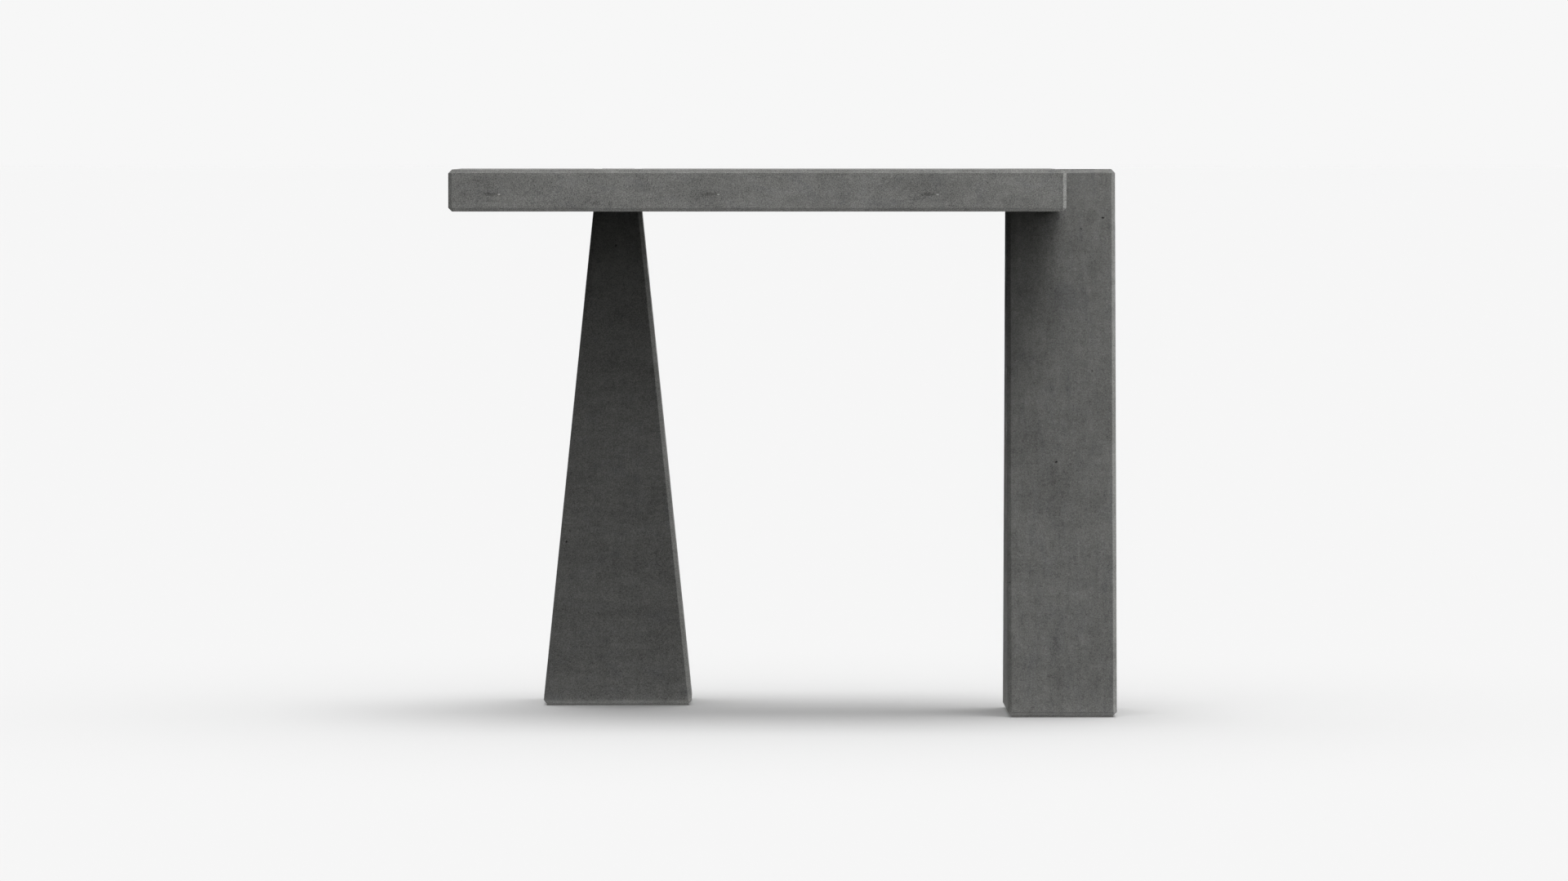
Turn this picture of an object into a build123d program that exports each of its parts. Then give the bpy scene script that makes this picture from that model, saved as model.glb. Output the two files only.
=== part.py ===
from build123d import *
import os
from math import atan, cos, degrees, radians

# A free-standing console table made of three concrete castings: a slab and two equal wedge legs.
# The left leg is let into the slab's back edge. The right leg is turned a quarter turn and let
# into the slab's right end. X runs to the right, Y to the back, Z up; the origin is on the floor
# at the middle of the overall box.

# Driving dimensions, in millimetres.
LEG_HEIGHT = 750.0
LEG_THICKNESS = 150.0
LEG_FOOT = 209.0
LEG_HEAD = 55.5
SLAB_LENGTH = 838.0
SLAB_DEPTH = 440.0
SLAB_THICKNESS = 57.0
LEFT_LEG_INSET = 225.0
CHAMFER = 5.0
PAD_THICKNESS = 2.0

# Castings: concrete left around the void formers, and the bars in it.
LEG_SKIN = 18.0
LEG_CORE_TOP = 655.0
SLAB_TOP_SKIN = 14.0
SLAB_BOTTOM_SKIN = 20.0
SLAB_RIM = 22.0
JOINT_BLOCK = 24.0
BAR_DIAMETER = 6.0
LEG_BAR_COVER = 10.0
LEG_BAR_TOP = 690.0
SLAB_BAR_COVER = 5.0
TIE_GAP = 1.0
SLAB_LONG_BARS = (35.0, 120.0, 350.0)
SLAB_CROSS_BARS = (60.0, 360.0, 610.0)

# Joint between a leg and the slab.
GASKET = 1.0
GASKET_SETBACK = 7.0
STUD_DIAMETER = 10.0
STUD_SPACING = 28.0
STUD_DROP = 35.0
STUD_HOLE = 12.0
STUD_IN_SOCKET = 38.0
STUD_TAIL = 51.0
SOCKET_DIAMETER = 16.0
SOCKET_LENGTH = 48.0
ANCHOR_DIAMETER = 22.0
ANCHOR_THICKNESS = 5.0
NUT_ACROSS_FLATS = 17.0
NUT_THICKNESS = 8.0
PLATE_SIZE = (54.0, 4.0, 26.0)

# Pocket in the slab's underside, where the nuts are reached.
WEB = 30.0
POCKET_SIZE = (84.0, 56.0, 35.0)
POCKET_WALL = 2.5
POST = 12.0
COVER_MARGIN = 8.0
COVER_THICKNESS = 3.0
COVER_GAP = 0.5
COVER_CORNER = 4.0
SCREW_DIAMETER = 4.0
SCREW_HEAD = 8.0
SCREW_LENGTH = 16.0
SCREW_SOCKET = 2.5
SCREW_SOCKET_DEPTH = 1.4

# Worked out from the driving dimensions.
HEIGHT = LEG_HEIGHT + PAD_THICKNESS
LAP = LEG_THICKNESS / 2
SLOPE = (LEG_FOOT - LEG_HEAD) / 2 / LEG_HEIGHT
LEAN = atan(SLOPE)
SLAB_LEFT = -(SLAB_LENGTH + LAP) / 2
SLAB_RIGHT = SLAB_LEFT + SLAB_LENGTH
SLAB_FRONT = -(SLAB_DEPTH + LAP) / 2
SLAB_BACK = SLAB_FRONT + SLAB_DEPTH
SLAB_BOTTOM = HEIGHT - SLAB_THICKNESS
STUD_LEVEL = HEIGHT - STUD_DROP
COVER_TOP = SLAB_BOTTOM + COVER_THICKNESS
POCKET_NEAR = -GASKET - WEB
POCKET_FAR = POCKET_NEAR - POCKET_SIZE[1]
POCKET_MIDDLE = (POCKET_NEAR + POCKET_FAR) / 2
PLATE_NEAR = POCKET_NEAR - POCKET_WALL
NUT_NEAR = PLATE_NEAR - PLATE_SIZE[1]
OVERRUN = 1.0

# A leg is built with its leaning faces to left and right, its lapped face on y = 0 and its free
# face on y = LEG_THICKNESS, and then put in one of these two places.
PLACES = {
    "left": Location((SLAB_LEFT + LEFT_LEG_INSET, SLAB_BACK - LAP, 0)),
    "right": Location((SLAB_RIGHT - LAP, SLAB_FRONT + SLAB_DEPTH / 2, 0), (0, 0, -90)),
}


def half_width(z):
    """Half the leg's width across its leaning faces at a height above the floor."""
    return LEG_HEAD / 2 + (HEIGHT - z) * SLOPE


def wedge(bottom, top, near, far, grow):
    """A slice of the leg, its leaning faces moved outwards by grow."""
    side = grow / cos(LEAN)
    low = half_width(bottom) + side
    high = half_width(top) + side
    outline = Polyline(
        (-low, near, bottom), (low, near, bottom), (high, near, top), (-high, near, top), close=True
    )
    return extrude(make_face(outline), amount=far - near, dir=(0, 1, 0))


def block(x_range, y_range, z_range):
    """A box given by its ranges."""
    low, high = zip(x_range, y_range, z_range)
    size = [b - a for a, b in zip(low, high)]
    return Pos(*low) * Box(*size, align=(Align.MIN, Align.MIN, Align.MIN))


def rod_y(x, z, start, end, diameter):
    """A round rod along Y."""
    length = end - start
    return Pos(x, (start + end) / 2, z) * Rot(90, 0, 0) * Cylinder(diameter / 2, length)


def rod_between(a, b, diameter):
    """A round rod from one point to another."""
    axis = Vector(*b) - Vector(*a)
    return Plane(origin=a, z_dir=axis) * Cylinder(
        diameter / 2, axis.length, align=(Align.CENTER, Align.CENTER, Align.MIN)
    )


def both_studs(make):
    """What make gives at each of the two stud centres."""
    return [make(x) for x in (-STUD_SPACING / 2, STUD_SPACING / 2)]


def screw_places():
    """Centres of the four cover screws, over the former's corner posts."""
    across = POCKET_SIZE[0] / 2 - POCKET_WALL - POST / 2
    along = POCKET_SIZE[1] / 2 - POCKET_WALL - POST / 2
    return [(i * across, POCKET_MIDDLE + j * along) for i in (-1, 1) for j in (-1, 1)]


# The leg.


def leg_core():
    """Void former inside the leg. The head above it is solid, to hold the sockets."""
    return wedge(PAD_THICKNESS + LEG_SKIN, LEG_CORE_TOP, LEG_SKIN, LEG_THICKNESS - LEG_SKIN, -LEG_SKIN)


def leg_bars():
    """Four bars that follow the leg's leaning edges."""
    bars = []
    bottom = PAD_THICKNESS + LEG_SKIN
    side = LEG_BAR_COVER / cos(LEAN)
    for i in (-1, 1):
        for y in (LEG_BAR_COVER, LEG_THICKNESS - LEG_BAR_COVER):
            foot = (i * (half_width(bottom) - side), y, bottom)
            head = (i * (half_width(LEG_BAR_TOP) - side), y, LEG_BAR_TOP)
            bars.append(rod_between(foot, head, BAR_DIAMETER))
    return bars


def socket(x):
    """A threaded socket with an anchor head, its thread taken as its plain major diameter."""
    barrel = rod_y(x, STUD_LEVEL, 0, SOCKET_LENGTH, SOCKET_DIAMETER)
    anchor_end = SOCKET_LENGTH + ANCHOR_THICKNESS
    anchor = rod_y(x, STUD_LEVEL, SOCKET_LENGTH, anchor_end, ANCHOR_DIAMETER)
    return barrel + anchor - rod_y(x, STUD_LEVEL, -OVERRUN, STUD_IN_SOCKET, STUD_DIAMETER)


def socket_hole(x):
    """The space that a socket and its bore take in the casting."""
    barrel = rod_y(x, STUD_LEVEL, -OVERRUN, SOCKET_LENGTH, SOCKET_DIAMETER)
    anchor_end = SOCKET_LENGTH + ANCHOR_THICKNESS
    return barrel + rod_y(x, STUD_LEVEL, SOCKET_LENGTH, anchor_end, ANCHOR_DIAMETER)


def leg_casting():
    """The wedge with every edge chamfered, less all that is cast into it."""
    casting = wedge(PAD_THICKNESS, HEIGHT, 0, LEG_THICKNESS, 0)
    casting = chamfer(casting.edges(), CHAMFER)
    for inside in [leg_core()] + leg_bars() + both_studs(socket_hole):
        casting -= inside
    return casting


def base_pad():
    """The pad under the foot, as large as the foot's flat underside."""
    reach = LEG_FOOT / 2 - CHAMFER
    return block((-reach, reach), (CHAMFER, LEG_THICKNESS - CHAMFER), (0, PAD_THICKNESS))


# The joint.


def stud(x):
    """A threaded stud from the socket to the pocket, with chamfered ends."""
    rod = rod_y(x, STUD_LEVEL, -STUD_TAIL, STUD_IN_SOCKET, STUD_DIAMETER)
    return chamfer(rod.edges().filter_by(GeomType.CIRCLE), OVERRUN)


def stud_hole(x):
    """The clear hole through the gasket, the web, the former and the clamp plate."""
    return rod_y(x, STUD_LEVEL, NUT_NEAR - OVERRUN, OVERRUN, STUD_HOLE)


def nut(x):
    """A hexagon nut."""
    corner_radius = NUT_ACROSS_FLATS / 2 / cos(radians(30))
    outline = RegularPolygon(corner_radius, 6)
    body = Pos(x, NUT_NEAR, STUD_LEVEL) * Rot(90, 0, 0) * extrude(outline, NUT_THICKNESS)
    return body - rod_y(x, STUD_LEVEL, NUT_NEAR - 2 * NUT_THICKNESS, 0, STUD_DIAMETER)


def clamp_plate():
    """The plate between the nuts and the former's wall."""
    width, thickness, height = PLATE_SIZE
    plate = Pos(0, PLATE_NEAR - thickness / 2, STUD_LEVEL) * Box(width, thickness, height)
    for hole in both_studs(stud_hole):
        plate -= hole
    return plate


def gasket():
    """Strips on the leg's lapped face and on both leaning faces inside the notch."""
    low = SLAB_BOTTOM + GASKET_SETBACK
    high = HEIGHT - GASKET_SETBACK
    sides = wedge(low, high, GASKET_SETBACK, LAP - GASKET_SETBACK, GASKET)
    sides -= wedge(low - OVERRUN, high + OVERRUN, 0, LAP, 0)
    inner = wedge(low, high, -GASKET, 0, -GASKET_SETBACK)
    for hole in both_studs(stud_hole):
        inner -= hole
    return list(sides.solids()) + [inner]


def pocket_former():
    """An open box with four screw posts, cast into the slab's underside."""
    width, length, height = POCKET_SIZE
    x_out, x_in = width / 2, width / 2 - POCKET_WALL
    y_in = (POCKET_FAR + POCKET_WALL, POCKET_NEAR - POCKET_WALL)
    roof = COVER_TOP + height - POCKET_WALL
    former = block((-x_out, x_out), (POCKET_FAR, POCKET_NEAR), (COVER_TOP, COVER_TOP + height))
    hollow = block((-x_in, x_in), y_in, (COVER_TOP - OVERRUN, roof))
    for x, y in screw_places():
        hollow -= block((x - POST / 2, x + POST / 2), (y - POST / 2, y + POST / 2), (0, HEIGHT))
    former -= hollow
    for hole in both_studs(stud_hole):
        former -= hole
    for x, y in screw_places():
        former -= Pos(x, y, SLAB_BOTTOM) * Cylinder(
            SCREW_DIAMETER / 2, SCREW_LENGTH, align=(Align.CENTER, Align.CENTER, Align.MIN)
        )
    return former


def cover_blank(gap, thickness):
    """The cover's outline, smaller by gap all round."""
    width = POCKET_SIZE[0] + 2 * COVER_MARGIN - 2 * gap
    length = POCKET_SIZE[1] + 2 * COVER_MARGIN - 2 * gap
    outline = RectangleRounded(width, length, COVER_CORNER)
    return Pos(0, POCKET_MIDDLE, SLAB_BOTTOM) * extrude(outline, thickness)


def screw_hole(x, y):
    """The space that a countersunk screw takes in the cover."""
    cone_depth = (SCREW_HEAD - SCREW_DIAMETER) / 2
    up = (Align.CENTER, Align.CENTER, Align.MIN)
    shank = Cylinder(SCREW_DIAMETER / 2, SCREW_LENGTH, align=up)
    head = Cone(SCREW_HEAD / 2, SCREW_DIAMETER / 2, cone_depth, align=up)
    return Pos(x, y, SLAB_BOTTOM) * (shank + head)


def screw(x, y):
    """A countersunk screw with a hexagon socket, its head flush with the cover."""
    recess = extrude(RegularPolygon(SCREW_SOCKET / 2, 6), SCREW_SOCKET_DEPTH)
    return screw_hole(x, y) - Pos(x, y, SLAB_BOTTOM) * recess


def pocket_cover():
    """The flush plate over the pocket, with countersunk holes."""
    cover = cover_blank(COVER_GAP, COVER_THICKNESS)
    for x, y in screw_places():
        cover -= screw_hole(x, y)
    return cover


# The slab.


def slab_bars():
    """Lengthwise bars near the underside, and cross bars tied on top of them."""
    end_gap = SLAB_RIM / 2
    low = SLAB_BOTTOM + SLAB_BAR_COVER + BAR_DIAMETER / 2
    high = low + BAR_DIAMETER + TIE_GAP
    bars = []
    for offset in SLAB_LONG_BARS:
        y = SLAB_FRONT + offset
        ends = [(SLAB_LEFT + end_gap, y, low), (SLAB_RIGHT - end_gap, y, low)]
        bars.append(rod_between(*ends, BAR_DIAMETER))
    for offset in SLAB_CROSS_BARS:
        x = SLAB_LEFT + offset
        ends = [(x, SLAB_FRONT + end_gap, high), (x, SLAB_BACK - end_gap, high)]
        bars.append(rod_between(*ends, BAR_DIAMETER))
    return bars


def slab_core():
    """Void former boards, left out round both joints."""
    core = block(
        (SLAB_LEFT + SLAB_RIM, SLAB_RIGHT - SLAB_RIM),
        (SLAB_FRONT + SLAB_RIM, SLAB_BACK - SLAB_RIM),
        (SLAB_BOTTOM + SLAB_BOTTOM_SKIN, HEIGHT - SLAB_TOP_SKIN),
    )
    reach = POCKET_SIZE[0] / 2 + JOINT_BLOCK
    joint = block((-reach, reach), (POCKET_FAR - JOINT_BLOCK, LEG_THICKNESS), (0, HEIGHT))
    for place in PLACES.values():
        core -= place * joint
    return core


def on_outside(edge):
    """True for an edge that is not one of the notches' inner corners."""
    at = edge.center()
    planes = [
        (at.X, SLAB_LEFT), (at.X, SLAB_RIGHT), (at.Y, SLAB_FRONT), (at.Y, SLAB_BACK),
        (at.Z, SLAB_BOTTOM), (at.Z, HEIGHT),
    ]
    return any(abs(value - plane) < 0.01 for value, plane in planes)


def slab_casting():
    """The slab with its two notches and chamfers, less all that is cast into it."""
    casting = block((SLAB_LEFT, SLAB_RIGHT), (SLAB_FRONT, SLAB_BACK), (SLAB_BOTTOM, HEIGHT))
    notch = wedge(SLAB_BOTTOM - OVERRUN, HEIGHT + OVERRUN, -GASKET, LEG_THICKNESS, GASKET)
    for place in PLACES.values():
        casting -= place * notch
    casting = chamfer([edge for edge in casting.edges() if on_outside(edge)], CHAMFER)
    width, length, height = POCKET_SIZE
    pocket = block(
        (-width / 2, width / 2), (POCKET_FAR, POCKET_NEAR), (SLAB_BOTTOM, COVER_TOP + height)
    )
    for place in PLACES.values():
        casting -= place * cover_blank(0, COVER_THICKNESS)
        casting -= place * pocket
        for hole in both_studs(stud_hole):
            casting -= place * hole
    for inside in [slab_core()] + slab_bars():
        casting -= inside
    return casting


def as_node(shape):
    """One shape for a node, whether it is one solid or several."""
    solids = list(shape) if isinstance(shape, (list, tuple)) else list(shape.solids())
    single = [solid for part in solids for solid in part.solids()]
    return single[0] if len(single) == 1 else Compound(single)


LEG_NODES = {
    "leg_casting": leg_casting,
    "leg_core": leg_core,
    "leg_bars": leg_bars,
    "base_pad": base_pad,
    "sockets": lambda: both_studs(socket),
    "studs": lambda: both_studs(stud),
    "nuts": lambda: both_studs(nut),
    "clamp_plate": clamp_plate,
    "gasket": gasket,
    "pocket_former": pocket_former,
    "pocket_cover": pocket_cover,
    "cover_screws": lambda: [screw(x, y) for x, y in screw_places()],
}
SLAB_NODES = {
    "tabletop_casting": slab_casting,
    "tabletop_core": slab_core,
    "tabletop_bars": slab_bars,
}


def main():
    os.makedirs("parts", exist_ok=True)
    for name, make in SLAB_NODES.items():
        export_step(as_node(make()), f"parts/{name}.step")
    for name, make in LEG_NODES.items():
        node = as_node(make())
        for side, place in PLACES.items():
            export_step(place * node, f"parts/{side}_{name}.step")
    print(f"lean of each leaning face {degrees(LEAN):.2f} degrees")


main()
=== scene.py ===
import math
import random

import bmesh
import bpy
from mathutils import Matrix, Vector, noise


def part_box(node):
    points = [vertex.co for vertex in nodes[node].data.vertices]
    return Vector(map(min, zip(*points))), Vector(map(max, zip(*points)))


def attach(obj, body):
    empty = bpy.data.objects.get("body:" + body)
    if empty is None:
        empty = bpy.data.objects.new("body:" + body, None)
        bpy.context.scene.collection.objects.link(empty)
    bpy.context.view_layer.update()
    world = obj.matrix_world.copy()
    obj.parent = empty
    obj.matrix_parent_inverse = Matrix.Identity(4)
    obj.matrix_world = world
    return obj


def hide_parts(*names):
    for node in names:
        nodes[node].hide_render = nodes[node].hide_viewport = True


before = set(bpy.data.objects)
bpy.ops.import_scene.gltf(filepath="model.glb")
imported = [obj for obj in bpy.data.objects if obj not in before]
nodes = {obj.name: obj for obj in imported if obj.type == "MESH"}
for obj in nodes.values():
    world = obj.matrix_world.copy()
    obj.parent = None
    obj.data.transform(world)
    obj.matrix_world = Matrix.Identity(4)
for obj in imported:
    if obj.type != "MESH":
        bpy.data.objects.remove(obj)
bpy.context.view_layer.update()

MM = 0.001

# The castings' shape.
CHAMFER = 5 * MM             # the CAD model's chamfer along every arris
FLAT_AREA = (14 * MM) ** 2   # a face larger than this is a cast face, not a chamfer's corner
LONG_EDGE = 15 * MM          # an arris longer than this is softened
FLATNESS = 0.05 * MM         # how far the rest of a casting may stand past an outer face
FOOT = 10 * MM               # a level face lower than this stands on a pad and stays flat

# The concrete skin.
GRID = 5 * MM                # spacing of the skin's vertices
ARRIS = 0.7 * MM             # softening of every arris of a casting
WAVE = 0.16 * MM             # depth of the slow undulation of a cast face
RIPPLE = 0.05 * MM           # depth of the finer unevenness
CHIP = 0.9 * MM              # deepest crumbled spot along an arris

# The marks on the concrete. Ovals are (middle, half size) in mm from their repeat's origin.
CONCRETE = (0.181, 0.182, 0.174, 1)
SCUFF_START = 69 * MM        # from the tabletop's left end to the first scuff
SCUFF_PITCH = 297 * MM       # from scuff to scuff
SCUFF_RISE = 18.5 * MM       # above the front's lower arris
STAIN_START = 107 * MM       # height of the middle of the right leg's first repeat
STAIN_PITCH = 246 * MM       # the right leg's stains come again at this rise
STAINS = (((120, 13), (11, 15)), ((118, 87), (9, 13)), ((121, -57), (9, 16)),
          ((65, -47), (11, 52)), ((38, 51), (9, 20)))
HEAD_FLAT = 22.7 * MM        # half the flat part of a leg's narrow head
BROW_PAINTED_SHADE = 0.18                  # painted shade: darkening of the right leg's upper front chamfer

# The stage.
FLOOR = 0.79                 # tone of the floor
BACKDROP = 0.93              # tone of the backdrop
FLOOR_HALF = 250.0           # metres, so that the floor runs to the horizon
GLOW_MARGIN = 14 * MM        # how far the floor's glow reaches past a foot
FOOT_GLOW = 0.80             # radiance of the floor round each foot
BETWEEN_GLOW = 0.26          # radiance of the floor between the legs
BETWEEN_REACH = 300 * MM     # how far left of the right foot that glow reaches

# The camera: a long lens, a little above the tabletop, almost straight in front.
SENSOR = 36.0                # mm
LENS = 190.3                 # mm
EYE = (-0.0954, -11.4884, 0.7902)
LOOK_DOWN = 2.0678           # degrees
LOOK_RIGHT = 0.4786          # degrees

# Words in the names of the nodes that belong to the tabletop.
TOP_PARTS = ("tabletop", "pocket", "cover", "clamp", "nuts")


# ---------------------------------------------------------------- node helpers

class Nodes:
    """A short way to write a material's node tree."""

    def __init__(self, name):
        self.material = bpy.data.materials.new(name)
        self.material.use_nodes = True
        self.tree = self.material.node_tree
        self.shader = self.tree.nodes["Principled BSDF"]
        self.where = self.add("ShaderNodeTexCoord").outputs["Object"]

    def add(self, kind, **settings):
        node = self.tree.nodes.new(kind)
        for key, value in settings.items():
            setattr(node, key, value)
        return node

    def put(self, value, socket):
        """Links an output, or writes a plain value, into a socket."""
        if isinstance(value, bpy.types.NodeSocket):
            self.tree.links.new(value, socket)
        else:
            socket.default_value = value

    def math(self, operation, a, b=0.0, c=0.0, clamp=False):
        node = self.add("ShaderNodeMath", operation=operation, use_clamp=clamp)
        for socket, value in zip(node.inputs, (a, b, c)):
            self.put(value, socket)
        return node.outputs[0]

    def vary(self, tone, pattern, strength):
        """A tone moved up and down by a pattern of 0 to 1."""
        return self.math("MULTIPLY_ADD", self.math("SUBTRACT", pattern, 0.5), strength, tone)

    def darken(self, tone, mask, share):
        """A tone that loses a share of itself where the mask is 1."""
        return self.math("MULTIPLY", tone, self.math("MULTIPLY_ADD", mask, -share, 1.0))

    def axes(self):
        """The object coordinates X, Y and Z, each as a number."""
        node = self.add("ShaderNodeSeparateXYZ")
        self.put(self.where, node.inputs[0])
        return node.outputs

    def stretch(self, scale, offset=(0, 0, 0)):
        """Object coordinates times a scale per axis, plus an offset."""
        node = self.add("ShaderNodeMapping", vector_type="POINT")
        self.put(self.where, node.inputs["Vector"])
        node.inputs["Scale"].default_value = scale
        node.inputs["Location"].default_value = offset
        return node.outputs[0]

    def noise(self, vector, scale=1.0, detail=3.0, rough=0.5, distort=0.0):
        node = self.add("ShaderNodeTexNoise")
        self.put(vector, node.inputs["Vector"])
        node.inputs["Scale"].default_value = scale
        node.inputs["Detail"].default_value = detail
        node.inputs["Roughness"].default_value = rough
        node.inputs["Distortion"].default_value = distort
        return node.outputs["Fac"]

    def cells(self, vector, scale, feature="F1", jitter=1.0):
        node = self.add("ShaderNodeTexVoronoi", feature=feature)
        self.put(vector, node.inputs["Vector"])
        node.inputs["Scale"].default_value = scale
        node.inputs["Randomness"].default_value = jitter
        return node.outputs["Distance"]

    def ramp(self, value, low, high, out_low=0.0, out_high=1.0):
        """A smooth step from out_low at low to out_high at high."""
        node = self.add("ShaderNodeMapRange", interpolation_type="SMOOTHSTEP")
        for socket, number in zip(node.inputs, (value, low, high, out_low, out_high)):
            self.put(number, socket)
        return node.outputs[0]

    def attribute(self, name):
        return self.add("ShaderNodeAttribute", attribute_name=name).outputs["Fac"]

    def blend(self, factor, a, b, mode="MIX"):
        node = self.add("ShaderNodeMix", data_type="RGBA", blend_type=mode)
        self.put(factor, node.inputs[0])
        self.put(a, node.inputs[6])
        self.put(b, node.inputs[7])
        return node.outputs[2]

    def gray(self, value):
        """The same value in all three channels."""
        node = self.add("ShaderNodeCombineColor")
        for socket in node.inputs:
            self.put(value, socket)
        return node.outputs[0]

    def bump(self, height, distance, strength):
        node = self.add("ShaderNodeBump")
        node.inputs["Distance"].default_value = distance
        node.inputs["Strength"].default_value = strength
        self.put(height, node.inputs["Height"])
        return node.outputs[0]

    def finish(self, color, rough, normal=None, **fixed):
        """Wires up the shader. The fixed values go on its own sockets, by name."""
        self.put(color, self.shader.inputs["Base Color"])
        self.put(rough, self.shader.inputs["Roughness"])
        if normal:
            self.put(normal, self.shader.inputs["Normal"])
        for key, value in fixed.items():
            self.shader.inputs[key.replace("_", " ")].default_value = value
        return self.material


def dress(piece, material):
    """Gives a piece one material and nothing else."""
    piece.data.materials.clear()
    piece.data.materials.append(material)


# ---------------------------------------------------------------- concrete meshes

def shells(bm):
    """The connected parts of a mesh, largest first, each as a list of faces."""
    left = dict.fromkeys(bm.faces)
    found = []
    while left:
        todo = [left.popitem()[0]]
        part = []
        while todo:
            face = todo.pop()
            part.append(face)
            for edge in face.edges:
                for other in edge.link_faces:
                    if other in left:
                        del left[other]
                        todo.append(other)
        found.append(part)
    return sorted(found, key=lambda part: -sum(f.calc_area() for f in part))


def edges_of(faces):
    """The edges of some faces, once each and in order."""
    return list({e: None for f in faces for e in f.edges})


def verts_of(faces):
    """The vertices of some faces, once each and in order."""
    return list({v: None for f in faces for v in f.verts})


def sharp_arrises(faces):
    """The convex arrises between two flat faces that are long enough to soften."""
    found = []
    for edge in edges_of(faces):
        if len(edge.link_faces) == 2 and edge.calc_length() > LONG_EDGE and edge.is_convex:
            if edge.calc_face_angle(0) > math.radians(20):
                if min(f.calc_area() for f in edge.link_faces) > FLAT_AREA:
                    found.append(edge)
    return found


def slice_grid(bm, layer, axis, low, high, step):
    """Cuts the marked faces by evenly spaced planes across one axis."""
    normal = Vector([float(i == axis) for i in range(3)])
    count = max(1, round((high - low) / step))
    for k in range(1, count):
        at = low + (high - low) * k / count
        near = []
        for face in bm.faces:
            if face[layer] and abs(face.normal[axis]) < 0.6:
                reach = [v.co[axis] for v in face.verts]
                if min(reach) < at < max(reach):
                    near.append(face)
        geometry = near + edges_of(near) + verts_of(near)
        bmesh.ops.bisect_plane(bm, geom=geometry, dist=1e-6, plane_co=normal * at, plane_no=normal)


def uneven(point, seed):
    """How deep a point of a cast face lies under the mould's own plane, in metres."""
    shift = Vector((seed * 3.1, seed * 1.7, -seed * 2.3))
    slow = noise.noise(point / (85 * MM) + shift)
    middle = noise.noise(point / (31 * MM) - shift)
    fine = noise.noise(point / (11 * MM) + shift * 2)
    return WAVE * (0.5 + 0.5 * slow) + RIPPLE * (0.5 + 0.3 * middle + 0.2 * fine)


def crumble(point, seed):
    """How far an arris has crumbled at a point: mostly nothing, now and then a chip."""
    shift = Vector((-seed * 1.3, seed * 2.9, seed * 0.7))
    broad = noise.noise(point / (24 * MM) + shift)
    tight = noise.noise(point / (7 * MM) - shift)
    return CHIP * max(0.0, broad + 0.55 * tight - 0.42) / 0.6


def pit(bm, face, radius, depth, turn, layer):
    """Turns a flat four-cornered face into one with a round air hole in it."""
    corners = list(face.verts)
    centre = face.calc_center_median()
    normal = face.normal.copy()
    first = (corners[0].co - centre).normalized()
    second = normal.cross(first)
    rings = []
    for share, down in ((1.0, 0.0), (0.86, 0.55), (0.5, 0.92)):
        ring = []
        for j in range(8):
            angle = math.radians(45 * j - 22.5)
            wobble = 1 + 0.18 * math.sin(turn + 2.0 * angle) + 0.1 * math.sin(3 * angle - turn)
            reach = radius * share * wobble
            spot = centre + first * reach * math.cos(angle) + second * reach * math.sin(angle)
            ring.append(bm.verts.new(spot - normal * depth * down))
        rings.append(ring)
    middle = bm.verts.new(centre - normal * depth)
    bm.faces.remove(face)
    made = []
    for k in range(4):
        a, b = corners[k], corners[(k + 1) % 4]
        outer = rings[0]
        made.append(bm.faces.new((a, outer[(2 * k + 1) % 8], outer[(2 * k) % 8])))
        made.append(bm.faces.new((a, b, outer[(2 * k + 2) % 8], outer[(2 * k + 1) % 8])))
    for upper, lower in zip(rings, rings[1:]):
        for j in range(8):
            n = (j + 1) % 8
            made.append(bm.faces.new((upper[j], upper[n], lower[n], lower[j])))
    for j in range(8):
        made.append(bm.faces.new((rings[-1][j], rings[-1][(j + 1) % 8], middle)))
    for new in made:
        new.smooth = True
        new[layer] = 0
    return rings, middle


def soften(bm):
    """Cleans a casting's outer shell and softens its arrises. Returns the shell's faces."""
    bmesh.ops.remove_doubles(bm, verts=bm.verts, dist=0.002 * MM)
    outer = shells(bm)[0]
    bmesh.ops.dissolve_limit(bm, angle_limit=math.radians(0.5), verts=verts_of(outer),
                             edges=edges_of(outer))
    outer = shells(bm)[0]
    bmesh.ops.bevel(bm, geom=sharp_arrises(outer), offset=ARRIS, segments=2,
                    profile=0.5, affect="EDGES", clamp_overlap=True)
    outer = shells(bm)[0]
    bm.normal_update()
    return outer


def divide(bm, outer, skin):
    """Marks the large outermost faces of a casting as its skin and cuts them into a grid."""
    points = [v.co.copy() for v in verts_of(outer)]
    for face in outer:
        if face.calc_area() > FLAT_AREA:
            at = face.calc_center_median()
            if max((p - at).dot(face.normal) for p in points) < FLATNESS:
                face[skin] = 1
    low = Vector([min(p[i] for p in points) for i in range(3)])
    high = Vector([max(p[i] for p in points) for i in range(3)])
    span = high - low
    for axis in sorted(range(3), key=lambda i: span[i]):
        slice_grid(bm, skin, axis, low[axis], high[axis], GRID)
    bm.normal_update()


def weather(bm, seed, skin, wear):
    """Sinks the skin unevenly and crumbles its arrises, all inwards. The foot stays flat."""
    cast = {v: None for f in bm.faces if f[skin] for v in f.verts}
    for vert in cast:
        border = any(not f[skin] for f in vert.link_faces)
        level = all(f.normal.z < -0.9 for f in vert.link_faces)
        if level and vert.co.z < FOOT:
            continue
        depth = uneven(vert.co, seed)
        if border:
            chip = crumble(vert.co, seed)
            depth += chip
            vert[wear] = 0.35 + 0.65 * min(1.0, chip / (0.4 * CHIP))
        vert.co -= vert.normal * depth


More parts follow.
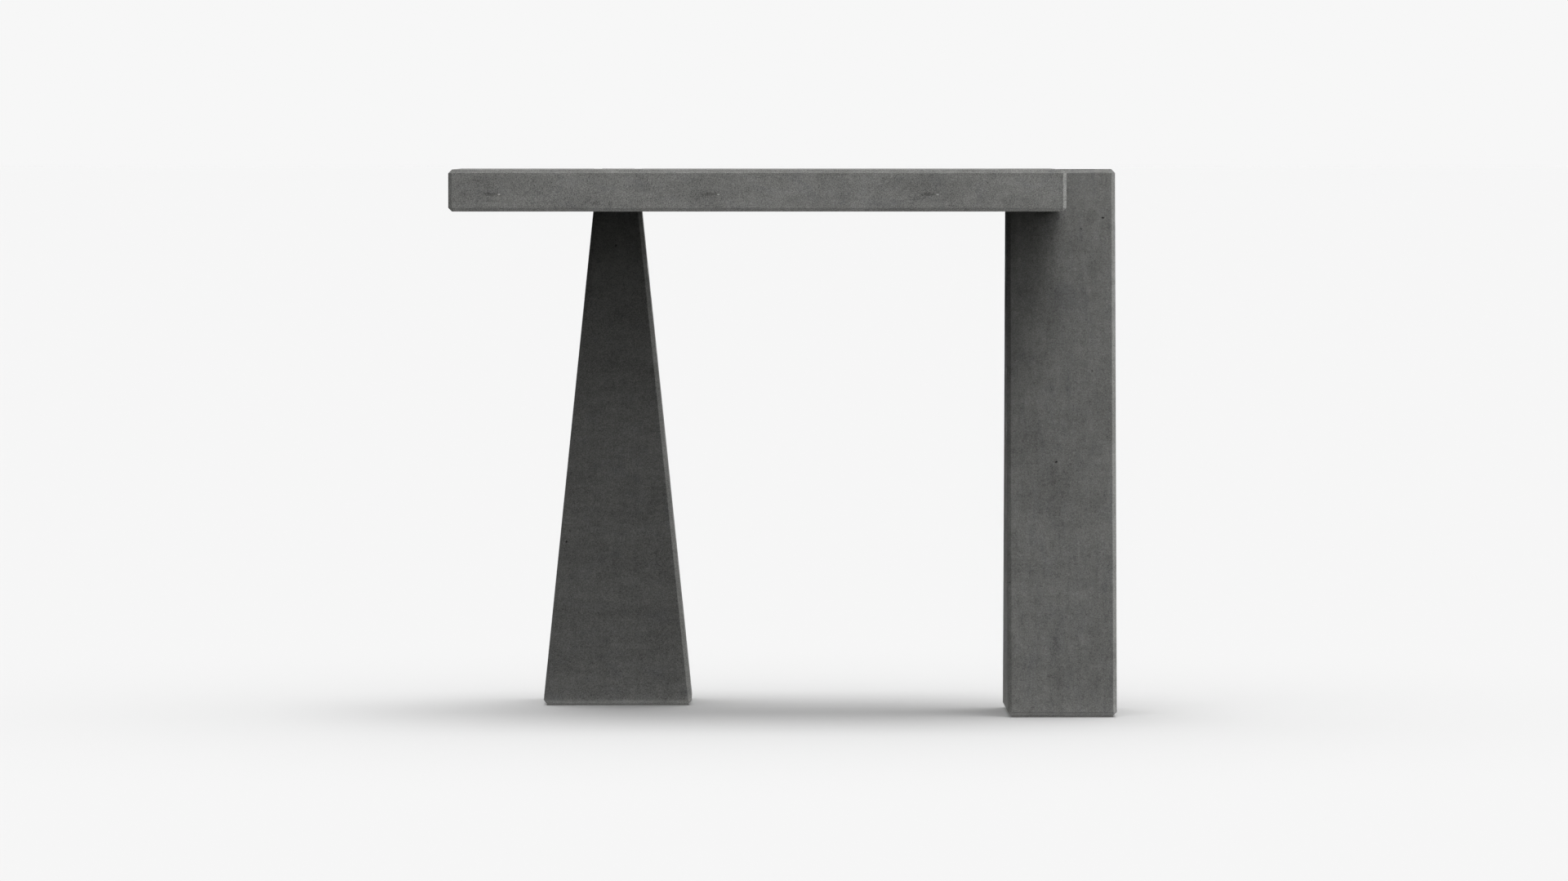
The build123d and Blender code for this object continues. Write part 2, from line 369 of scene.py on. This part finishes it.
def air_holes(bm, seed, count, skin, air):
    """Makes round air holes in the skin, most of them small."""
    dice = random.Random(seed)
    flat = [f for f in bm.faces if f[skin] and len(f.verts) == 4
            and all(e.link_faces[0][skin] and e.link_faces[-1][skin] for e in f.edges)
            and min(e.calc_length() for e in f.edges) > 0.75 * GRID]
    flat.sort(key=lambda face: tuple(face.calc_center_median()))
    for face in dice.sample(flat, min(count, len(flat))):
        size = min(1.0, dice.expovariate(3.2)) ** 1.2
        radius = (0.35 + 1.35 * size) * MM
        rings, middle = pit(bm, face, radius, radius * dice.uniform(0.7, 1.3),
                            dice.uniform(0, 6.28), skin)
        # The deep rings and the bottom of each hole are marked for the concrete's painted shade.
        for vert in [middle] + rings[2] + rings[1]:
            vert[air] = 1.0


def casting(name, node, seed, holes):
    """The concrete block of a CAD node, with softened arrises and a real cast skin.
    Every change goes inwards, so that the block keeps its size."""
    bm = bmesh.new()
    bm.from_mesh(nodes[node].data)
    skin = bm.faces.layers.int.new("skin")
    wear = bm.verts.layers.float.new("wear")
    air = bm.verts.layers.float.new("air")
    outer = soften(bm)
    divide(bm, outer, skin)
    weather(bm, seed, skin, wear)
    air_holes(bm, seed, holes, skin, air)
    bmesh.ops.triangulate(bm, faces=[f for f in bm.faces if len(f.verts) > 4])
    for face in bm.faces:
        face.smooth = True
    for edge in bm.edges:
        edge.smooth = edge.calc_face_angle(0) < math.radians(38)
    mesh = bpy.data.meshes.new(name)
    bm.to_mesh(mesh)
    bm.free()
    piece = bpy.data.objects.new(name, mesh)
    bpy.context.scene.collection.objects.link(piece)
    piece.modifiers.new("weighted", "WEIGHTED_NORMAL").keep_sharp = True
    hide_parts(node)
    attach(piece, "root")
    return piece


# ---------------------------------------------------------------- concrete material

def concrete(name, seed, even, across, upright, fine, damp, patches, marks=None):
    """Grey cast concrete: clouds down to grain, woven streaks, blotches, specks, air holes with
    painted shade inside.
    even, across, upright and fine are the strengths of the plain, level and upright
    mottling and of the grain. damp is the blotches' tone, and patches is their stretch.
    marks adds a casting's own marks, and on the right leg a painted shade, to its tone and height."""
    n = Nodes(name)
    here = (seed * 0.37, seed * 0.71, seed * 0.53)
    cloud = n.noise(n.stretch((8, 8, 10), here), detail=8, rough=0.9, distort=0.25)
    level = n.noise(n.stretch((14, 14, 75), here), detail=5, rough=0.8, distort=0.35)
    plumb = n.noise(n.stretch((75, 75, 14), here), detail=5, rough=0.8, distort=0.35)
    blot = n.noise(n.stretch(patches, here), detail=5, rough=0.62, distort=0.8)
    curd = n.noise(n.stretch((1, 1, 1), here), scale=240, detail=2, rough=0.7, distort=1.4)
    grain = n.noise(n.where, scale=700, detail=3, rough=0.85)
    tone = n.vary(1.0, cloud, even)
    tone = n.vary(tone, level, across)
    tone = n.vary(tone, plumb, upright)
    tone = n.vary(tone, curd, 0.6)
    tone = n.vary(tone, grain, fine)
    tone = n.math("MULTIPLY", tone, n.ramp(blot, 0.58, 0.66, 1.0, damp))
    speck = n.cells(n.where, 330)
    tone = n.math("MULTIPLY", tone, n.ramp(speck, 0.06, 0.16, 0.74, 1.0))
    pale = n.cells(n.stretch((1, 1, 1), (0.41, 0.13, 0.27)), 210)
    tone = n.math("ADD", tone, n.ramp(pale, 0.05, 0.13, 0.28, 0.0))
    # Painted shade inside the air holes: their deepest vertices are darkened.
    tone = n.math("MULTIPLY", tone, n.ramp(n.attribute("air"), 0.0, 1.0, 1.0, 0.6))
    tone = n.math("ADD", tone, n.ramp(n.attribute("wear"), 0.25, 1.0, 0.0, 0.1))
    holes = n.ramp(n.cells(n.stretch((1, 1, 1), here), 115), 0.05, 0.12, 0.0, 1.0)
    height = n.math("MULTIPLY_ADD", grain, 0.5, n.math("MULTIPLY", cloud, 0.6))
    height = n.math("ADD", height, holes)
    if marks:
        tone, height = marks(n, tone, height)
    color = n.blend(1.0, CONCRETE, n.gray(tone), "MULTIPLY")
    color = n.blend(n.ramp(blot, 0.45, 0.75, 0.0, 0.5), color,
                    n.blend(1.0, color, (0.97, 0.98, 1.04, 1), "MULTIPLY"))
    rough = n.ramp(cloud, 0.4, 0.6, 0.86, 0.72)
    normal = n.bump(height, 0.2 * MM, 0.6)
    return n.finish(color, rough, normal, Specular_IOR_Level=0.3)


def oval(n, along, up, centre, size, ragged):
    """1 inside an oval patch of a face and 0 outside it, with an uneven rim. along and up
    are in metres, centre and size (half the width and height) in mm."""
    a = n.math("DIVIDE", n.math("SUBTRACT", along, centre[0] * MM), size[0] * MM)
    b = n.math("DIVIDE", n.math("SUBTRACT", up, centre[1] * MM), size[1] * MM)
    reach = n.math("MULTIPLY_ADD", a, a, n.math("MULTIPLY", b, b))
    return n.ramp(n.vary(reach, ragged, 3.0), 0.4, 1.3, 1.0, 0.0)


def scuffs(n, tone, height):
    """Three scuffs along the tabletop's front: a dark smear that ends in a bright chip, with
    a stain round each, and a second row of stains near the lower arris between them."""
    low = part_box("tabletop_casting")[0]
    x, y, z = n.axes()
    half = SCUFF_PITCH / 2
    along = n.math("WRAP", n.math("SUBTRACT", x, low.x + SCUFF_START), half, -half)
    up = n.math("SUBTRACT", z, low.z + CHAMFER + SCUFF_RISE)
    front = n.ramp(y, low.y + 2 * MM, low.y + 4 * MM, 1.0, 0.0)
    coarse = n.noise(n.where, scale=75, detail=4, rough=0.75, distort=1.0)
    fine = n.noise(n.where, scale=260, detail=3, rough=0.7)

    def mark(centre, size, ragged):
        return n.math("MULTIPLY", oval(n, along, up, centre, size, ragged), front)

    smear = mark((-13, 0), (10, 2.6), fine)
    chip = mark((0, -0.4), (1.9, 0.9), 0.5)
    tone = n.darken(tone, mark((-10, 9), (58, 19), coarse), 0.095)
    tone = n.darken(tone, mark((110, -11), (26, 10), coarse), 0.11)
    tone = n.darken(tone, smear, 0.34)
    tone = n.math("MULTIPLY_ADD", chip, 1.1, tone)
    height = n.math("MULTIPLY_ADD", smear, -1.6, height)
    height = n.math("MULTIPLY_ADD", chip, 0.8, height)
    return tone, height


def leg_stains_and_shade(n, tone, height):
    """Upright damp stains down the right leg's front, again and again, and painted shade on the bevel
    at the top of its front.
    """
    low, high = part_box("right_leg_casting")
    x, y, z = n.axes()
    half = STAIN_PITCH / 2
    along = n.math("SUBTRACT", x, low.x)
    up = n.math("WRAP", n.math("SUBTRACT", z, STAIN_START), half, -half)
    brink = (low.y + high.y) / 2 - HEAD_FLAT
    front = n.ramp(y, brink - 0.5 * MM, brink + 0.5 * MM, 1.0, 0.0)
    ragged = n.noise(n.where, scale=85, detail=4, rough=0.75, distort=1.0)
    for centre, size in STAINS:
        stain = n.math("MULTIPLY", oval(n, along, up, centre, size, ragged), front)
        tone = n.darken(tone, stain, 0.09)
    # Painted shade: the upper front chamfer is darkened to take down the light it catches.
    brow_shade = n.ramp(z, high.z - CHAMFER - 1 * MM, high.z - CHAMFER + 0.5 * MM, 0.0, 1.0)
    return n.darken(tone, n.math("MULTIPLY", brow_shade, front), BROW_PAINTED_SHADE), height


# ---------------------------------------------------------------- other materials

def honeycomb_board(name):
    """The brown paper honeycomb of a void former, with its cells showing through the face."""
    n = Nodes(name)
    walls = n.cells(n.where, 85, feature="DISTANCE_TO_EDGE", jitter=0.15)
    wall = n.ramp(walls, 0.02, 0.07, 1.0, 0.0)
    fibre = n.noise(n.stretch((60, 60, 700)), detail=4, rough=0.65)
    stain = n.noise(n.where, scale=14, detail=3)
    color = n.blend(n.ramp(fibre, 0.3, 0.7), (0.21, 0.125, 0.062, 1), (0.33, 0.21, 0.115, 1))
    color = n.blend(n.math("MULTIPLY", wall, 0.35), color, (0.13, 0.075, 0.036, 1))
    color = n.blend(n.ramp(stain, 0.5, 0.75, 0.0, 0.3), color, (0.17, 0.11, 0.06, 1))
    height = n.math("ADD", wall, n.math("MULTIPLY", fibre, 0.25))
    return n.finish(color, n.ramp(fibre, 0.3, 0.7, 0.8, 0.95), n.bump(height, 0.5 * MM, 0.8))


def rusty_bar(name):
    """Reinforcing bar: dark mill scale under orange rust, with rolled ribs."""
    n = Nodes(name)
    rust = n.noise(n.where, scale=95, detail=6, rough=0.65)
    blotch = n.noise(n.where, scale=24, detail=3)
    ribs = n.add("ShaderNodeTexWave", bands_direction="DIAGONAL", wave_profile="SIN")
    n.put(n.where, ribs.inputs["Vector"])
    ribs.inputs["Scale"].default_value = 75
    rib = n.ramp(ribs.outputs["Fac"], 0.55, 0.95)
    color = n.blend(n.ramp(rust, 0.38, 0.62), (0.055, 0.043, 0.038, 1), (0.24, 0.085, 0.028, 1))
    color = n.blend(n.ramp(blotch, 0.5, 0.7, 0.0, 0.6), color, (0.32, 0.14, 0.045, 1))
    height = n.math("ADD", rib, n.math("MULTIPLY", rust, 0.4))
    return n.finish(color, n.ramp(rust, 0.3, 0.7, 0.5, 0.88), n.bump(height, 0.6 * MM, 0.9),
                    Metallic=0.25)


def felt(name):
    """Pressed grey felt with loose fibres."""
    n = Nodes(name)
    fibre = n.noise(n.stretch((900, 260, 900)), detail=4, rough=0.75, distort=1.2)
    cross = n.noise(n.stretch((240, 850, 850), (0.2, 0.4, 0.1)), detail=4, rough=0.75, distort=1.2)
    tuft = n.noise(n.where, scale=130, detail=2)
    mass = n.math("MAXIMUM", fibre, cross)
    color = n.blend(n.ramp(mass, 0.42, 0.72), (0.105, 0.105, 0.1, 1), (0.21, 0.21, 0.2, 1))
    color = n.blend(n.ramp(tuft, 0.45, 0.7, 0.0, 0.35), color, (0.13, 0.125, 0.12, 1))
    return n.finish(color, n.ramp(mass, 0.3, 0.8, 1.0, 0.9), n.bump(mass, 0.5 * MM, 0.9),
                    Sheen_Weight=0.3, Sheen_Roughness=0.6, Specular_IOR_Level=0.2)


def zinc(name):
    """Bright zinc plating: spangled, slightly yellowed, with fine wear."""
    n = Nodes(name)
    spangle = n.cells(n.where, 420)
    haze = n.noise(n.where, scale=60, detail=4, rough=0.6)
    scratch = n.noise(n.stretch((90, 1500, 900)), detail=2, rough=0.7)
    color = n.blend(n.ramp(spangle, 0.1, 0.7), (0.60, 0.60, 0.585, 1), (0.50, 0.51, 0.52, 1))
    color = n.blend(n.ramp(haze, 0.48, 0.72, 0.0, 0.45), color, (0.58, 0.53, 0.40, 1))
    rough = n.math("ADD", n.ramp(haze, 0.3, 0.7, 0.24, 0.42), n.ramp(scratch, 0.5, 0.8, 0.0, 0.14))
    height = n.math("ADD", scratch, n.math("MULTIPLY", spangle, 0.4))
    return n.finish(color, rough, n.bump(height, 0.05 * MM, 0.5), Metallic=1.0)


def rubber(name):
    """Matt black cellular rubber with a talc bloom."""
    n = Nodes(name)
    pore = n.cells(n.where, 900)
    bloom = n.noise(n.where, scale=45, detail=4, rough=0.6)
    color = n.blend(n.ramp(bloom, 0.45, 0.75), (0.016, 0.016, 0.017, 1), (0.05, 0.05, 0.05, 1))
    rough = n.ramp(bloom, 0.3, 0.7, 0.68, 0.88)
    return n.finish(color, rough, n.bump(n.ramp(pore, 0.0, 0.3), 0.15 * MM, 0.7),
                    Specular_IOR_Level=0.35)


def moulded(name):
    """Black moulded plastic with a fine spark-eroded grain and cement dust."""
    n = Nodes(name)
    grain = n.noise(n.where, scale=1400, detail=3, rough=0.6)
    dust = n.noise(n.where, scale=30, detail=5, rough=0.65)
    color = n.blend(n.ramp(dust, 0.5, 0.8, 0.0, 0.6), (0.022, 0.022, 0.024, 1), (0.16, 0.16, 0.15, 1))
    rough = n.math("ADD", n.ramp(grain, 0.3, 0.7, 0.42, 0.56), n.ramp(dust, 0.5, 0.8, 0.0, 0.3))
    return n.finish(color, rough, n.bump(grain, 0.06 * MM, 0.5))


def coated(name):
    """Grey powder coat: fine orange peel, tiny darker flecks."""
    n = Nodes(name)
    peel = n.noise(n.where, scale=520, detail=2, rough=0.5)
    cloud = n.noise(n.where, scale=22, detail=4)
    fleck = n.cells(n.where, 1300)
    color = n.blend(n.ramp(cloud, 0.3, 0.7), (0.115, 0.115, 0.112, 1), (0.15, 0.15, 0.146, 1))
    color = n.blend(n.ramp(fleck, 0.1, 0.25, 0.5, 0.0), color, (0.07, 0.07, 0.07, 1))
    return n.finish(color, n.ramp(peel, 0.3, 0.7, 0.5, 0.62), n.bump(peel, 0.12 * MM, 0.6))


# ---------------------------------------------------------------- stage

def studio():
    """A plain pale floor that runs to the horizon, and a backdrop of the same tone.
    The floor throws no light on the table: the floor glows in lights() do that instead."""
    mesh = bpy.data.meshes.new("floor")
    corners = [(i * FLOOR_HALF, j * FLOOR_HALF, 0) for i, j in ((-1, -1), (1, -1), (1, 1), (-1, 1))]
    mesh.from_pydata(corners, [], [(0, 1, 2, 3)])
    floor = bpy.data.objects.new("floor", mesh)
    bpy.context.scene.collection.objects.link(floor)
    n = Nodes("floor_paint")
    mesh.materials.append(n.finish((FLOOR, FLOOR, FLOOR, 1), 1.0, Specular_IOR_Level=0.0))
    floor.visible_diffuse = False
    floor.visible_glossy = False
    floor.visible_shadow = False
    world = bpy.data.worlds.new("studio")
    bpy.context.scene.world = world
    world.use_nodes = True
    tree = world.node_tree
    shown = tree.nodes["Background"]
    shown.inputs["Color"].default_value = (BACKDROP, BACKDROP, BACKDROP, 1)
    ambient = tree.nodes.new("ShaderNodeBackground")
    ambient.inputs["Strength"].default_value = 0.0
    path = tree.nodes.new("ShaderNodeLightPath")
    mix = tree.nodes.new("ShaderNodeMixShader")
    tree.links.new(path.outputs["Is Camera Ray"], mix.inputs["Fac"])
    tree.links.new(ambient.outputs[0], mix.inputs[1])
    tree.links.new(shown.outputs[0], mix.inputs[2])
    tree.links.new(mix.outputs[0], tree.nodes["World Output"].inputs["Surface"])
    bpy.context.scene.view_settings.view_transform = "Standard"


def lit_by(lamp, pieces):
    """The lamp lights only these pieces, or everything if there are none."""
    if pieces:
        group = bpy.data.collections.new(lamp.name + "_set")
        for piece in pieces:
            group.objects.link(piece)
        lamp.light_linking.receiver_collection = group


def sun(name, azimuth, elevation, strength, spread, pieces=None):
    """A soft far light. Azimuth 0 is in front of the table and 90 to its right, and spread
    is the light's width, all in degrees."""
    light = bpy.data.lights.new(name, "SUN")
    light.energy = strength
    light.angle = math.radians(spread)
    a, e = math.radians(azimuth), math.radians(elevation)
    towards = Vector((math.sin(a) * math.cos(e), -math.cos(a) * math.cos(e), math.sin(e)))
    lamp = bpy.data.objects.new(name, light)
    lamp.rotation_euler = towards.to_track_quat("Z", "Y").to_euler()
    bpy.context.scene.collection.objects.link(lamp)
    lit_by(lamp, pieces)


def floor_glow(name, low, high, margin, radiance, pieces):
    """Light that the pale floor throws back up from a patch under a box."""
    light = bpy.data.lights.new(name, "AREA")
    light.shape = "RECTANGLE"
    light.size = high.x - low.x + 2 * margin
    light.size_y = high.y - low.y + 2 * margin
    light.energy = radiance * math.pi * light.size * light.size_y
    lamp = bpy.data.objects.new(name, light)
    lamp.location = ((low.x + high.x) / 2, (low.y + high.y) / 2, 0.3 * MM)
    lamp.rotation_euler = (math.pi, 0, 0)
    lamp.visible_camera = False
    bpy.context.scene.collection.objects.link(lamp)
    lit_by(lamp, pieces)


def lights(top, left, right):
    """Softboxes overhead for everything, and a key from the right and fills for each block."""
    legs = left + right
    sun("overhead_wide", 0, 90, 2.10, 120)
    sun("overhead_middle", 0, 90, 0.39, 80)
    sun("overhead_narrow", 0, 90, 1.18, 40)
    sun("top_key", 90, 0, 2.5, 30, top)
    sun("top_bounce_right", 60, -20, 1.5, 30, top)
    sun("top_bounce_left", -30, -20, 1.0, 30, top)
    sun("top_back", 180, 45, 1.8, 12, top)
    sun("right_leg_key", 90, -2, 2.55, 22, right)
    sun("right_leg_front_high", 20, 64, 1.19, 24, right)
    sun("left_leg_key", 90, 6, 1.0, 22, left)
    sun("left_leg_key_high", 90, 32, 1.2, 30, left)
    sun("left_leg_front", 15, 10, 0.15, 24, left)
    sun("left_leg_front_high", 29, 65, 0.91, 22, left)
    sun("right_leg_back_left", -125, 28, 0.54, 26, right)
    sun("left_leg_back_left", -130, 42, 0.65, 26, left)
    sun("left_leg_low", -125, 10, 0.25, 36, left)
    sun("right_leg_low", -100, 10, 0.32, 36, right)
    sun("leg_back", 180, 10, 1.3, 16, legs)
    sun("leg_front_low", 25, 20, 0.46, 36, legs)
    for side in ("left", "right"):
        low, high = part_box(side + "_base_pad")
        floor_glow(side + "_foot_glow", low, high, GLOW_MARGIN, FOOT_GLOW, legs)
    low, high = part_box("right_base_pad")
    near = Vector((low.x - BETWEEN_REACH, low.y, 0))
    far = Vector((low.x - 2 * MM, high.y, 0))
    floor_glow("between_glow", near, far, 0.0, BETWEEN_GLOW, legs)


def camera():
    """The long level view from the front."""
    data = bpy.data.cameras.new("camera")
    data.sensor_width = SENSOR
    data.lens = LENS
    data.clip_end = 4 * FLOOR_HALF
    eye = bpy.data.objects.new("camera", data)
    eye.location = EYE
    eye.rotation_euler = (math.radians(90 - LOOK_DOWN), 0, math.radians(-LOOK_RIGHT))
    bpy.context.scene.collection.objects.link(eye)
    bpy.context.scene.camera = eye


# ---------------------------------------------------------------- the object

def build():
    """Makes the three castings, gives every other node its look, and returns the pieces of
    the tabletop, of the left leg and of the right leg."""
    top = casting("tabletop", "tabletop_casting", seed=3, holes=260)
    left = casting("left_leg", "left_leg_casting", seed=5, holes=110)
    right = casting("right_leg", "right_leg_casting", seed=8, holes=110)
    dress(top, concrete("concrete_tabletop", seed=1.0, even=1.25, across=0.6, upright=0.3,
                        fine=3.3, damp=0.93, patches=(26, 26, 40), marks=scuffs))
    dress(left, concrete("concrete_left_leg", seed=4.0, even=1.0, across=0.65, upright=0.4,
                         fine=2.7, damp=0.93, patches=(24, 24, 44)))
    dress(right, concrete("concrete_right_leg", seed=7.0, even=1.0, across=0.4, upright=0.75,
                          fine=2.2, damp=0.9, patches=(40, 40, 22), marks=leg_stains_and_shade))
    looks = (("core", honeycomb_board("honeycomb_board")), ("bars", rusty_bar("rusty_bar")),
             ("base_pad", felt("felt")), ("sockets", zinc("zinc")), ("studs", zinc("zinc_stud")),
             ("nuts", zinc("zinc_nut")), ("clamp_plate", zinc("zinc_plate")),
             ("gasket", rubber("rubber")), ("pocket_former", moulded("moulded_plastic")),
             ("pocket_cover", coated("powder_coat")), ("cover_screws", zinc("zinc_screw")))
    groups = {"top": [top], "left": [left], "right": [right]}
    for name, node in nodes.items():
        for ending, look in looks:
            if name.endswith(ending):
                dress(node, look)
                above = any(part in name for part in TOP_PARTS)
                groups["top" if above else name.split("_")[0]].append(node)
    return groups["top"], groups["left"], groups["right"]


top, left, right = build()
studio()
camera()
lights(top, left, right)
